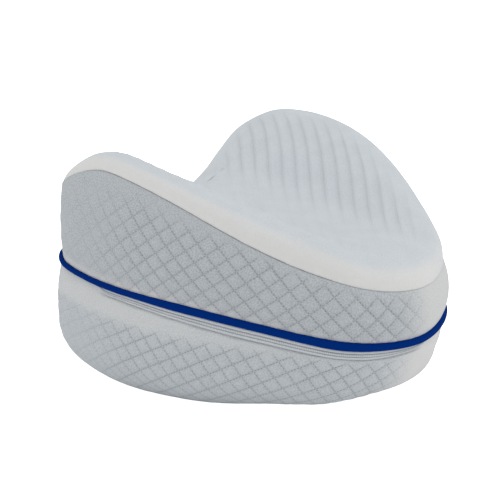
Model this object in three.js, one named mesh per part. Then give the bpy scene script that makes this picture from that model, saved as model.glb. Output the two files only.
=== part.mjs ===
// A contoured foam pillow that goes between the knees, in a zipped, quilted cover.
//
// The frame is in millimetres with +Z up. The leg channels run along Y, with the low
// nose at -Y and the notched end with its two lobes at +Y. The zip is on the -X side.
// The origin is on the surface under the middle of the pillow's box.
//
// The pillow is drawn round its piping, in a plane of its own, and then stood up: it
// tips its nose down a little and is pressed flat where it touches the surface.

import * as THREE from 'three';
import { mergeVertices } from 'three/addons/utils/BufferGeometryUtils.js';

// One half of the plan at the piping, from the nose to the notch.
const PLAN_HALF = [
  { x: 0, y: -109 },
  { x: 27.5, y: -102.5 },
  { x: 50.5, y: -88 },
  { x: 66, y: -67 },
  { x: 78, y: -45.5 },
  { x: 89, y: -24 },
  { x: 98.5, y: 0 },
  { x: 106, y: 28.5 },
  { x: 109.5, y: 63 },
  { x: 107, y: 96 },
  { x: 98.5, y: 124.5 },
  { x: 80.5, y: 139 },
  { x: 56, y: 135.5 },
  { x: 33.5, y: 128 },
  { x: 0, y: 119 },
];

// The upper saddle, as heights of the seam above the piping.
const CHANNEL_HEIGHT = 24.5;
const CHANNEL_RISE = 41; // at 100 mm to the side
const END_RISE = 4.7; // at 100 mm along the channel
const BACK_DROP = 7.2; // of the lobes at 50 mm past BACK_DROP_START
const BACK_DROP_START = 85;
const CROWN = 24; // of the top panel over its seam
const CROWN_SHARE = 0.38; // of the way to the middle that the crown's round takes
const SEAM_INSET = 3.5; // of the upper seam from the piping
const UPPER_BULGE = 4.8;

// The lower saddle, as depths below the piping.
const UNDER_CHANNEL_DEPTH = 48;
const UNDER_CHANNEL_HALF_WIDTH = 72;
const REST_DEPTH = 71.6; // of the lower edge, square to the surface
const LOBE_LIFT = 18; // of the lobes' lower edge at 100 mm past LOBE_LIFT_START
const LOBE_LIFT_START = 40;
const LOWER_ROUND = 31.5; // radius of the lower edge
const LOWER_INSET = 0.8;
const LOWER_BULGE = 1.6;
const UNDER_EDGE = 6; // thickness of the bottom panel at its seam
const UNDER_MIDDLE = 15; // and in the middle

// How the pillow stands.
const NOSE_DOWN = THREE.MathUtils.degToRad(6.9);
const PRESSED = 1.5; // how far the lower edge is pressed flat

// Quilting: rows of diamonds, sewn down along their sides.
const DIAMOND_SIDE = 10;
const PITCH = DIAMOND_SIDE / Math.SQRT2;
const COLUMNS = 112; // two to each diamond round the plan
const PUFF = 0.6;
const SEWN = -0.4;
const PLAIN_ROWS = 1; // beside the piping

const GAP = 0.3; // between pieces
const PIPING_RADIUS = 2.8;
const PIPING_OUT = 1; // from the plan to the cord's middle
const PIPING_SIDES = 8;
const COVE = [
  { out: -2.4, up: GAP / 2 },
  { out: -1.5, up: 2.2 },
]; // of the bands, round the cord
const BAND_START = 3.5;

// The zip, in columns of the plan and in millimetres down the lower band.
const ZIP_FIRST = 79;
const ZIP_LAST = 113;
const ZIP_STRIPS = [
  { name: 'zip_tape_upper', from: 3.2, to: 5.4, thick: 1 },
  { name: 'zip_coil', from: 5.7, to: 7.6, thick: 1.7 },
  { name: 'zip_tape_lower', from: 7.9, to: 10.2, thick: 1 },
];

// The top panel's rings, as angles up its rounded rim, and where its quilting ends.
const RIM_ANGLES = [0, 12, 24, 36].map(THREE.MathUtils.degToRad);
const TOP_EDGE = 0.8; // thickness of the top panel at its seam
const TOP_QUILT_SHARE = 0.9;
const UNDER_QUILT_SHARE = 0.94;

const FABRIC = new THREE.MeshStandardMaterial({ color: 0xc3c8cb, roughness: 0.95, metalness: 0 });
const CORD_CLOTH = new THREE.MeshStandardMaterial({ color: 0x0a2f8f, roughness: 0.8, metalness: 0 });
const TAPE = new THREE.MeshStandardMaterial({ color: 0xe3e4e2, roughness: 0.85, metalness: 0 });
const COIL = new THREE.MeshStandardMaterial({ color: 0xececea, roughness: 0.5, metalness: 0 });

// The columns: points spaced evenly round the plan, each with its outward direction.
function planColumns() {
  const half = PLAN_HALF.map((p) => new THREE.Vector3(p.x, p.y, 0));
  const mirrored = half.slice(1, -1).reverse().map((p) => new THREE.Vector3(-p.x, p.y, 0));
  const curve = new THREE.CatmullRomCurve3([...half, ...mirrored], true, 'centripetal');
  curve.arcLengthDivisions = 3000;
  const columns = [];
  for (let i = 0; i < COLUMNS; i += 1) {
    const point = curve.getPointAt(i / COLUMNS);
    const along = curve.getTangentAt(i / COLUMNS);
    columns.push({ x: point.x, y: point.y, outX: along.y, outY: -along.x });
  }
  return columns;
}

const columns = planColumns();

// A point in the piping's own frame, out from the plan at one column.
function beside(column, out, z) {
  return { x: column.x + column.outX * out, y: column.y + column.outY * out, z };
}

// The same point after a move towards the middle of the plan.
function inwards(point, way) {
  const share = 1 - way / Math.hypot(point.x, point.y);
  return { x: point.x * share, y: point.y * share, z: point.z };
}

// The same point once the pillow stands, pressed flat where it meets the surface.
function stand(point) {
  const y = point.y * Math.cos(NOSE_DOWN) - point.z * Math.sin(NOSE_DOWN);
  const z = point.y * Math.sin(NOSE_DOWN) + point.z * Math.cos(NOSE_DOWN);
  return new THREE.Vector3(point.x, y, Math.max(z + REST_DEPTH - PRESSED, 0));
}

function seamHeight(x, y) {
  const drop = BACK_DROP * (Math.max(y - BACK_DROP_START, 0) / 50) ** 2;
  return CHANNEL_HEIGHT + CHANNEL_RISE * (x / 100) ** 2 + END_RISE * (y / 100) ** 2 - drop;
}

function underDepth(x, y) {
  const past = Math.max(y - LOBE_LIFT_START, 0) / 100;
  const level = REST_DEPTH - LOBE_LIFT * past ** 2 + y * Math.sin(NOSE_DOWN);
  const rest = level / Math.cos(NOSE_DOWN);
  const share = THREE.MathUtils.smoothstep(Math.abs(x), 0, UNDER_CHANNEL_HALF_WIDTH);
  return UNDER_CHANNEL_DEPTH + (rest - UNDER_CHANNEL_DEPTH) * share;
}

// Sewn lines cross where the row and the column are both odd or both even.
function isCrossing(column, row) {
  return (column + row) % 2 === 0;
}

function relief(column, row) {
  return isCrossing(column, row) ? SEWN : PUFF;
}

// The upper band's wall at one column, a height above the piping.
function upperWall(column, height) {
  const seam = upperSeam(column);
  const share = height / seam.z;
  const out = -SEAM_INSET * share ** 1.5 + UPPER_BULGE * 4 * share * (1 - share);
  return beside(column, out, height);
}

function upperSeam(column) {
  const edge = beside(column, -SEAM_INSET, 0);
  return { ...edge, z: seamHeight(edge.x, edge.y) };
}

// The lower band's wall at one column, a way down it from the piping, with what the
// quilting adds square to the wall.
function lowerWall(column, way, raised = 0) {
  const wall = lowerWallHeight(column);
  if (way <= wall) {
    const share = way / wall;
    const out = -LOWER_INSET * share ** 2 + LOWER_BULGE * 4 * share * (1 - share);
    return beside(column, out + raised, -way);
  }
  const angle = (way - wall) / LOWER_ROUND;
  const radius = LOWER_ROUND + raised;
  const start = beside(column, -LOWER_INSET, -wall - radius * Math.sin(angle));
  return inwards(start, LOWER_ROUND - radius * Math.cos(angle));
}

// The lower seam in plan, where the lower edge's round ends.
function lowerSeam(column) {
  return inwards(beside(column, -LOWER_INSET, 0), LOWER_ROUND);
}

function lowerWallHeight(column) {
  const seam = lowerSeam(column);
  return underDepth(seam.x, seam.y) - LOWER_ROUND;
}

function lowerSeamWay(column) {
  return lowerWallHeight(column) + LOWER_ROUND * Math.PI / 2;
}

// How far out a point lies between the middle of the plan, 0, and an edge round it, 1.
function shareOut(edge, x, y) {
  for (let i = 0; i < edge.length; i += 1) {
    const a = edge[i];
    const b = edge[(i + 1) % edge.length];
    const turn = a.x * b.y - a.y * b.x;
    const alongA = (x * b.y - y * b.x) / turn;
    const alongB = (a.x * y - a.y * x) / turn;
    if (alongA >= -1e-9 && alongB >= -1e-9) return alongA + alongB;
  }
  return 0;
}

function scaled(edge, share) {
  return edge.map((p) => ({ x: p.x * share, y: p.y * share }));
}

// Where the line across the plan at x enters and leaves an edge, in y.
function crossingsAt(edge, x) {
  const found = [];
  edge.forEach((a, i) => {
    const b = edge[(i + 1) % edge.length];
    if ((a.x - x) * (b.x - x) <= 0 && a.x !== b.x) {
      found.push(a.y + ((b.y - a.y) * (x - a.x)) / (b.x - a.x));
    }
  });
  return { front: Math.min(...found), back: Math.max(...found) };
}

// Triangles of one closed piece, which drops those with no area.
class Skin {
  constructor() {
    this.corners = [];
  }

  triangle(a, b, c) {
    const same = (p, q) => p.distanceToSquared(q) < 1e-8;
    if (same(a, b) || same(b, c) || same(c, a)) return;
    this.corners.push(a, b, c);
  }

  // Quads between two rings of points; a column's quad is split along its sewn line.
  band(lower, upper, row = 0) {
    for (let i = 0; i < lower.length; i += 1) {
      const next = (i + 1) % lower.length;
      if (isCrossing(i, row)) {
        this.triangle(lower[i], lower[next], upper[next]);
        this.triangle(lower[i], upper[next], upper[i]);
      } else {
        this.triangle(lower[i], lower[next], upper[i]);
        this.triangle(lower[next], upper[next], upper[i]);
      }
    }
  }

  fan(middle, ring) {
    for (let i = 0; i < ring.length; i += 1) {
      this.triangle(middle, ring[i], ring[(i + 1) % ring.length]);
    }
  }

  volume() {
    let six = 0;
    for (let i = 0; i < this.corners.length; i += 3) {
      const [a, b, c] = this.corners.slice(i, i + 3);
      six += a.dot(b.clone().cross(c));
    }
    return six / 6;
  }

  mesh(name, material) {
    const corners = this.volume() < 0 ? [...this.corners].reverse() : this.corners;
    const loose = new THREE.BufferGeometry().setFromPoints(corners);
    const geometry = mergeVertices(loose, 1e-3);
    geometry.computeVertexNormals();
    const mesh = new THREE.Mesh(geometry, material);
    mesh.name = name;
    return mesh;
  }
}

// A quilted face over the plan: a square grid of points inside an edge, each row cut
// off where it meets that edge, and plain triangles from there to the outer edge.
function quiltedFace(skin, edge, outerEdge, surface, facesUp) {
  const reach = Math.floor(Math.max(...edge.map((p) => p.x)) / PITCH);
  const firstRow = Math.floor(Math.min(...edge.map((p) => p.y)) / PITCH);
  const lastRow = Math.ceil(Math.max(...edge.map((p) => p.y)) / PITCH);
  const grid = [];
  for (let i = -reach; i <= reach; i += 1) {
    const { front, back } = crossingsAt(edge, i * PITCH);
    const line = [];
    for (let j = firstRow; j <= lastRow; j += 1) {
      const y = THREE.MathUtils.clamp(j * PITCH, front, back);
      const inside = Math.abs(i) < reach && y === j * PITCH;
      const point = surface(i * PITCH, y, inside ? relief(i, j) : 0);
      line.push({ x: i * PITCH, y, point });
    }
    grid.push(line);
  }
  const last = grid.length - 1;
  for (let i = 0; i < last; i += 1) {
    for (let j = 0; j < grid[i].length - 1; j += 1) {
      const [a, b] = [grid[i][j].point, grid[i + 1][j].point];
      const [d, c] = [grid[i][j + 1].point, grid[i + 1][j + 1].point];
      if (isCrossing(i - reach, j + firstRow)) {
        skin.triangle(...turned([a, b, c], facesUp));
        skin.triangle(...turned([a, c, d], facesUp));
      } else {
        skin.triangle(...turned([a, b, d], facesUp));
        skin.triangle(...turned([b, c, d], facesUp));
      }
    }
  }
  const front = grid.map((line) => line[0]);
  const back = grid.map((line) => line[line.length - 1]);
  const sides = [...grid[0].slice(1, -1), ...grid[last].slice(1, -1)];
  joinRings(skin, outerEdge, [...front, ...back, ...sides], surface, facesUp);
}

function turned(corners, facesUp) {
  return facesUp ? corners : [...corners].reverse();
}

// Triangles between two rings of plan points, taken in their order round the middle.
function joinRings(skin, outer, inner, surface, facesUp) {
  const ordered = (ring) => ring
    .map((p) => ({
      turn: (Math.atan2(p.x, -p.y) + 2 * Math.PI) % (2 * Math.PI),
      point: surface(p.x, p.y, 0),
    }))
    .sort((p, q) => p.turn - q.turn);
  const [far, near] = [ordered(outer), ordered(inner)];
  const at = (ring, i) => ring[i % ring.length];
  const turnAt = (ring, i) => at(ring, i).turn + (i >= ring.length ? 2 * Math.PI : 0);
  let [i, j] = [0, 0];
  while (i < far.length || j < near.length) {
    const farNext = i < far.length && turnAt(far, i + 1) < turnAt(near, j + 1);
    const stepsFar = j >= near.length || farNext;
    const next = stepsFar ? at(far, i + 1) : at(near, j + 1);
    skin.triangle(...turned([at(far, i).point, next.point, at(near, j).point], facesUp));
    if (stepsFar) i += 1;
    else j += 1;
  }
}

function topPanel() {
  const skin = new Skin();
  const seam = columns.map(upperSeam);
  const surface = (x, y, raised) => {
    const past = Math.min((1 - shareOut(seam, x, y)) / CROWN_SHARE, 1);
    const crown = CROWN * Math.sqrt(Math.max(1 - (1 - past) ** 2, 0));
    return stand({ x, y, z: seamHeight(x, y) + GAP / 2 + TOP_EDGE + crown + raised });
  };
  const edges = RIM_ANGLES.map((angle) => scaled(seam, 1 - CROWN_SHARE * (1 - Math.cos(angle))));
  const underRim = seam.map((p) => stand({ ...p, z: p.z + GAP / 2 }));
  const rings = [underRim, ...edges.map((edge) => edge.map((p) => surface(p.x, p.y, 0)))];
  skin.fan(stand({ x: 0, y: 0, z: CHANNEL_HEIGHT + GAP / 2 }), [...underRim].reverse());
  rings.slice(1).forEach((ring, i) => skin.band(rings[i], ring));
  quiltedFace(skin, scaled(seam, TOP_QUILT_SHARE), edges[edges.length - 1], surface, true);
  return skin.mesh('top_panel', FABRIC);
}

// The rows of a quilted band: one ring for each row, which stops at the seam.
function bandRings(wallPoint, seamWay) {
  const most = Math.max(...columns.map(seamWay));
  const rings = [];
  for (let row = 0; BAND_START + (row - 1) * PITCH < most; row += 1) {
    rings.push(columns.map((column, i) => {
      const way = BAND_START + row * PITCH;
      const end = seamWay(column);
      const raised = way < end && row > PLAIN_ROWS ? relief(i, row) : 0;
      return stand(wallPoint(column, Math.min(way, end), raised));
    }));
  }
  return rings;
}

function upperBand() {
  const skin = new Skin();
  const cove = COVE.map(({ out, up }) => columns.map((c) => stand(beside(c, out, up))));
  const wallPoint = (column, way, raised) => {
    const wall = upperWall(column, way);
    return { ...wall, x: wall.x + column.outX * raised, y: wall.y + column.outY * raised };
  };
  const rings = bandRings(wallPoint, (column) => upperSeam(column).z - GAP / 2);
  skin.fan(stand({ x: 0, y: 0, z: COVE[0].up }), [...cove[0]].reverse());
  skin.band(cove[0], cove[1]);
  skin.band(cove[1], rings[0]);
  rings.slice(1).forEach((ring, row) => skin.band(rings[row], ring, row));
  skin.fan(stand({ x: 0, y: 0, z: CHANNEL_HEIGHT - GAP / 2 }), rings[rings.length - 1]);
  return skin.mesh('upper_side_band', FABRIC);
}

function lowerBand() {
  const skin = new Skin();
  const cove = COVE.map(({ out, up }) => columns.map((c) => stand(beside(c, out, -up))));
  const rings = bandRings(lowerWall, lowerSeamWay);
  const step = columns.map((column) => {
    const seam = lowerWall(column, lowerSeamWay(column));
    return stand({ ...seam, z: seam.z + UNDER_EDGE });
  });
  skin.fan(stand({ x: 0, y: 0, z: -COVE[0].up }), cove[0]);
  skin.band(cove[1], cove[0]);
  skin.band(rings[0], cove[1]);
  rings.slice(1).forEach((ring, row) => skin.band(ring, rings[row], row));
  skin.band(step, rings[rings.length - 1]);
  skin.fan(stand({ x: 0, y: 0, z: -UNDER_CHANNEL_DEPTH + UNDER_MIDDLE }), [...step].reverse());
  return skin.mesh('lower_side_band', FABRIC);
}

function bottomPanel() {
  const skin = new Skin();
  const seam = columns.map((column) => inwards(lowerSeam(column), GAP));
  const surface = (x, y, raised) => stand({ x, y, z: -underDepth(x, y) - raised });
  const rim = seam.map((p) => surface(p.x, p.y, 0));
  const upperRim = seam.map((p) => stand({ ...p, z: -underDepth(p.x, p.y) + UNDER_EDGE - GAP }));
  quiltedFace(skin, scaled(seam, UNDER_QUILT_SHARE), seam, surface, false);
  skin.band(rim, upperRim);
  skin.fan(stand({ x: 0, y: 0, z: -UNDER_CHANNEL_DEPTH + UNDER_MIDDLE - GAP }), upperRim);
  return skin.mesh('bottom_panel', FABRIC);
}

function piping() {
  const skin = new Skin();
  const rings = [];
  for (let side = 0; side <= PIPING_SIDES; side += 1) {
    const angle = (side / PIPING_SIDES) * 2 * Math.PI;
    const out = PIPING_OUT + PIPING_RADIUS * Math.cos(angle);
    rings.push(columns.map((c) => stand(beside(c, out, PIPING_RADIUS * Math.sin(angle)))));
  }
  rings.slice(1).forEach((ring, side) => skin.band(rings[side], ring));
  return skin.mesh('piping', CORD_CLOTH);
}

// A strip that lies on the lower band's wall beside the piping, closed at both ends.
function zipStrip({ name, from, to, thick }, material) {
  const skin = new Skin();
  const sections = [];
  for (let i = ZIP_FIRST; i <= ZIP_LAST; i += 1) {
    const column = columns[i % COLUMNS];
    sections.push([
      lowerWall(column, from, GAP),
      lowerWall(column, to, GAP),
      lowerWall(column, to, GAP + thick),
      lowerWall(column, from, GAP + thick),
    ].map(stand));
  }
  const [first, last] = [sections[0], sections[sections.length - 1]];
  sections.slice(1).forEach((section, i) => skin.band(sections[i], section));
  skin.triangle(first[0], first[2], first[1]);
  skin.triangle(first[0], first[3], first[2]);
  skin.triangle(last[0], last[1], last[2]);
  skin.triangle(last[0], last[2], last[3]);
  return skin.mesh(name, material);
}

const pillow = new THREE.Group();
pillow.add(topPanel(), upperBand(), piping(), lowerBand(), bottomPanel());
ZIP_STRIPS.forEach((strip) => {
  pillow.add(zipStrip(strip, strip.name === 'zip_coil' ? COIL : TAPE));
});

// The origin goes under the middle of the box.
const middle = new THREE.Box3().setFromObject(pillow).getCenter(new THREE.Vector3());
pillow.position.set(-middle.x, -middle.y, 0);

export default pillow;
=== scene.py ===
"""Dresses the fixed frame of a contoured knee pillow in its quilted, piped and zipped cover.

Lengths are in metres, with +Z up. The leg channels run along Y, with the low nose at -Y
and the notched end at +Y. The zip is on the -X side.
"""

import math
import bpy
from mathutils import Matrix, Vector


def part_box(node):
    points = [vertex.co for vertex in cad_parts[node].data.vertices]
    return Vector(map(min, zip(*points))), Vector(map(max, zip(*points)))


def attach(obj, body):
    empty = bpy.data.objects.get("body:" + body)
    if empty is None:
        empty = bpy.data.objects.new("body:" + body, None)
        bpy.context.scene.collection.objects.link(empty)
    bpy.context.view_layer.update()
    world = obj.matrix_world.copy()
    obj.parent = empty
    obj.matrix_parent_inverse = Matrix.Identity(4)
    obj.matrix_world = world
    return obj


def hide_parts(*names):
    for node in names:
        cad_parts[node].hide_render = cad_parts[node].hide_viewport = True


bl_info = {
    "name": "Quilted Knee Pillow",
    "version": (1, 0, 0),
    "blender": (4, 5, 0),
    "location": "3D View > Sidebar > Knee Pillow",
    "description": "Makes the quilted cover, piping and zip of a contoured knee pillow",
    "category": "Object",
}

import bmesh
import bpy
import numpy as np
from mathutils import Matrix, Vector

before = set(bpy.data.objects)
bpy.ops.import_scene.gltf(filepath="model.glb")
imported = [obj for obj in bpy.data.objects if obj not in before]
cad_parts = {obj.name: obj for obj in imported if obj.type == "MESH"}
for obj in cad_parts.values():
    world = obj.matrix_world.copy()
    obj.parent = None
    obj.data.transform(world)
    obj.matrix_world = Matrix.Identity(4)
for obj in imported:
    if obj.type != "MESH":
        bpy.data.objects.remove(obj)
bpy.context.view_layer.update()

MM = 0.001
SPAN = 100 * MM  # the distance that rises and slopes are given for
NEAR_LOBE = (-85 * MM, 115 * MM)  # the middle of the lobe on the zip's side, in plan
COLUMNS = 168  # of cloth round the bands and the panels, so that their seams meet
FINE_EDGE = 720  # points round a panel's edge, to measure from
LEVELS = 2  # of subdivision
BAND_DEPTH = 1.4  # of the quilting on the bands, as a share of the puff
SEWN_GAP = 1.2 * MM  # from the middle of the piping to the first row of a band
TOOTH_PITCH = 1.25 * MM
STRIP_THICKNESS = 1.1 * MM
SENSOR = 36  # width of the camera's sensor in millimetres
SORT_WAY = Vector((1, 7.3, 0))  # a slant on which mirrored parts of a panel don't meet

# One half of the plan at the piping, from the nose to the notch, in millimetres.
PLAN_HALF = (
    (0, -109), (27.5, -102.5), (50.5, -88), (66, -67), (78, -45.5), (89, -24), (98.5, 0), (106, 28.5),
    (109.5, 63), (107, 96), (98.5, 124.5), (80.5, 139), (56, 135.5), (33.5, 128), (0, 119),
)
# The zip's strips, in millimetres down the lower band.
ZIP_STRIPS = {"upper": (3.2, 5.4), "teeth": (5.6, 7.7), "lower": (7.9, 9.8)}


def length(name, default, description):
    """A size that a user may change, in metres."""
    return bpy.props.FloatProperty(
        name=name, default=default, description=description, unit="LENGTH", precision=4
    )


def waves(name, default, description):
    """The heights of one, two and three waves round the pillow, in metres."""
    return bpy.props.FloatVectorProperty(
        name=name, default=default, description=description, size=3, unit="LENGTH", precision=4
    )


def colour(name, default, description):
    """A colour that a user may change, in linear light."""
    return bpy.props.FloatVectorProperty(
        name=name, default=default, description=description, subtype="COLOR", size=3, min=0, max=1
    )


def number(name, default, description):
    """A plain number that a user may change."""
    return bpy.props.FloatProperty(name=name, default=default, description=description, precision=3)


def turning(name, degrees, description):
    """An angle that a user may change, given in degrees."""
    return bpy.props.FloatProperty(
        name=name, default=math.radians(degrees), description=description, unit="ROTATION"
    )


class PillowForm(bpy.types.PropertyGroup):
    """The foam's shape, measured from the plane of the piping"""

    channel_height: length("Channel Height", 23.9 * MM, "Upper seam over the piping in mid channel")
    channel_rise: length("Channel Rise", 41.7 * MM, "Rise of the upper seam at 100 mm to the side")
    nose_rise: length("Nose Rise", 7.7 * MM, "Rise of the upper seam at 100 mm towards the nose")
    lobe_rise: length("Lobe Rise", 2.6 * MM, "Rise of the upper seam at 100 mm towards the lobes")
    back_drop: length("Back Drop", 4.8 * MM, "Fall of the lobes at 50 mm past the start of it")
    back_drop_start: length("Back Drop Start", 85 * MM, "Where the lobes start to fall")
    crown: length("Crown", 26 * MM, "Height of the top panel over its seam")
    crown_slope: number("Crown Slope", -0.1, "Change of the crown at 100 mm towards the lobes")
    side_crown: number("Side Crown", 0.3, "How much higher the crown is along the sides")
    near_lobe: number("Near Lobe", 0.2, "How much fuller the lobe on the zip's side is")
    near_lobe_size: length("Near Lobe Size", 28 * MM, "Reach of that fullness")
    notch_sink: number("Notch Sink", 0.26, "Share of the crown that is missing at the notch")
    notch_width: length("Notch Width", 22 * MM, "Reach of that hollow to the sides")
    notch_length: length("Notch Length", 45 * MM, "Reach of that hollow along the channel")
    crown_share: number("Crown Share", 0.45, "Share of the way inwards that the rim's round takes")
    seam_inset: length("Seam Inset", 3.8 * MM, "Upper seam in from the piping")
    seam_lobe_out: length("Seam Lobe Out", 0.6 * MM, "Upper seam out at 100 mm towards the lobes")
    shoulder_out: length("Shoulder Out", 8.5 * MM, "Upper seam out at the zip's side's outer shoulder")
    shoulder_drop: length("Shoulder Drop", 17.5 * MM, "Upper seam down at that shoulder")
    shoulder_size: length("Shoulder Size", 21 * MM, "Reach of that shoulder")
    shoulder: number("Shoulder", 0.13, "That shoulder from the notch, as a share of the way round")
    upper_bulge: length("Upper Bulge", 4.2 * MM, "Swell of the upper band")
    under_depth: length("Under Channel", 48 * MM, "Depth of the lower channel under the piping")
    under_half_width: length("Under Half Width", 72 * MM, "Half the lower channel's width")
    rest_depth: length("Rest Depth", 71.6 * MM, "Lower edge under the piping, square to the floor")
    lobe_lift: length("Lobe Lift", 18 * MM, "Lift of the lobes at 100 mm past the start of it")
    lobe_lift_start: length("Lobe Lift Start", 40 * MM, "Where the lobes start to lift")
    lower_round: length("Lower Round", 31.5 * MM, "Radius of the lower edge")
    lower_inset: length("Lower Inset", 0.8 * MM, "Lower band in from the piping")
    lower_bulge: length("Lower Bulge", 1.6 * MM, "Swell of the lower band")
    nose_down: turning("Nose Down", 6.9, "How far the pillow tips")
    sway: waves("Sway", (-0.2 * MM, 0.3 * MM, -2.15 * MM), "Even waves of the piping over its plane")
    drift: waves("Drift", (2.5 * MM, -0.9 * MM, 1.9 * MM), "Uneven waves of the piping over its plane")
    pressed: length("Pressed", 1.5 * MM, "How far the lower edge is pressed flat")


class PillowCover(bpy.types.PropertyGroup):
    """The quilted cover, its piping and its zip"""

    diamond: length("Diamond", 9.7 * MM, "Side of a quilted diamond")
    puff: length("Puff", 1.1 * MM, "Height of a diamond over its sewn lines")
    cord_radius: length("Cord Radius", 2.8 * MM, "Radius of the piping")
    cord_out: length("Cord Out", 1 * MM, "Middle of the piping out from the plan")
    swell: length("Swell", 1.2 * MM, "Most that the stuffed cloth swells")
    zip_first: number("Zip Start", 78 / 112, "Start of the zip as a share of the way round")
    zip_last: number("Zip End", 113 / 112, "End of the zip as a share of the way round")
    body_tone: colour("Body", (0.46, 0.505, 0.545), "Light grey of the knit")
    fleck_tone: colour("Fleck", (0.64, 0.67, 0.695), "Lighter flecks in the knit")
    # Cream is the plain margins' own tone, and also painted highlight on the top panel's rim and beside
    # the nose.
    cream_and_highlight_tone: colour("Cream", (0.81, 0.80, 0.78), "Warm tone of the plain margins")
    cord_tone: colour("Cord", (0.0, 0.027, 0.205), "Royal blue of the piping")
    tape_tone: colour("Tape", (0.64, 0.68, 0.72), "Off-white of the zip's tapes")
    teeth_tone: colour("Teeth", (0.74, 0.77, 0.79), "White of the zip's coil")


class PillowStudio(bpy.types.PropertyGroup):
    """The stage, the lights and the camera"""

    azimuth: turning("Azimuth", -48.69, "Camera round the pillow")
    elevation: turning("Elevation", 16.08, "Camera over the floor")
    roll: turning("Roll", -1.36, "Camera's turn")
    distance: length("Distance", 2.041, "Camera from the aim")
    aim_height: length("Aim Height", 0.075, "Height of the aim over the floor")
    aim_right: length("Aim Right", 19.9 * MM, "How far the pillow stands right of the aim")
    aim_up: length("Aim Up", -14.5 * MM, "How far the pillow stands over the aim")
    focal: number("Focal", 5.957, "Focal length in widths of the picture")
    floor_tone: colour("Floor", (0.9, 0.9, 0.9), "Pale floor")
    surround: number("Surround", 0.675, "Even light from all round")
    top_power: number("Top Light", 3.6, "Watts of the light overhead")
    left_power: number("Left Light", 2.2, "Watts of the light at the left")
    right_power: number("Right Light", 4.1, "Watts of the light at the right")
    front_power: number("Front Light", 0.3, "Watts of the light at the camera's side")


def closed_curve(points, steps):
    """Points along a smooth closed curve through the given ones."""
    out = []
    count = len(points)
    t = np.linspace(0, 1, steps, endpoint=False)[:, None]
    for i in range(count):
        before, start, end, after = (points[(i + k) % count] for k in (-1, 0, 1, 2))
        gap_in, gap, gap_out = (
            math.dist(a, b) ** 0.5 for a, b in ((before, start), (start, end), (end, after))
        )
        leave = (start - before) / gap_in - (end - before) / (gap_in + gap) + (end - start) / gap
        arrive = (end - start) / gap - (after - start) / (gap + gap_out) + (after - end) / gap_out
        leave, arrive = leave * gap, arrive * gap
        cubic = 2 * start - 2 * end + leave + arrive
        square = 3 * end - 3 * start - 2 * leave - arrive
        out.append(start + leave * t + square * t**2 + cubic * t**3)
    return np.concatenate(out)


def smooth(low, high, x):
    """0 below low, 1 above high, and a soft step between."""
    t = np.clip((x - low) / (high - low), 0, 1)
    return t * t * (3 - 2 * t)


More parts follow.
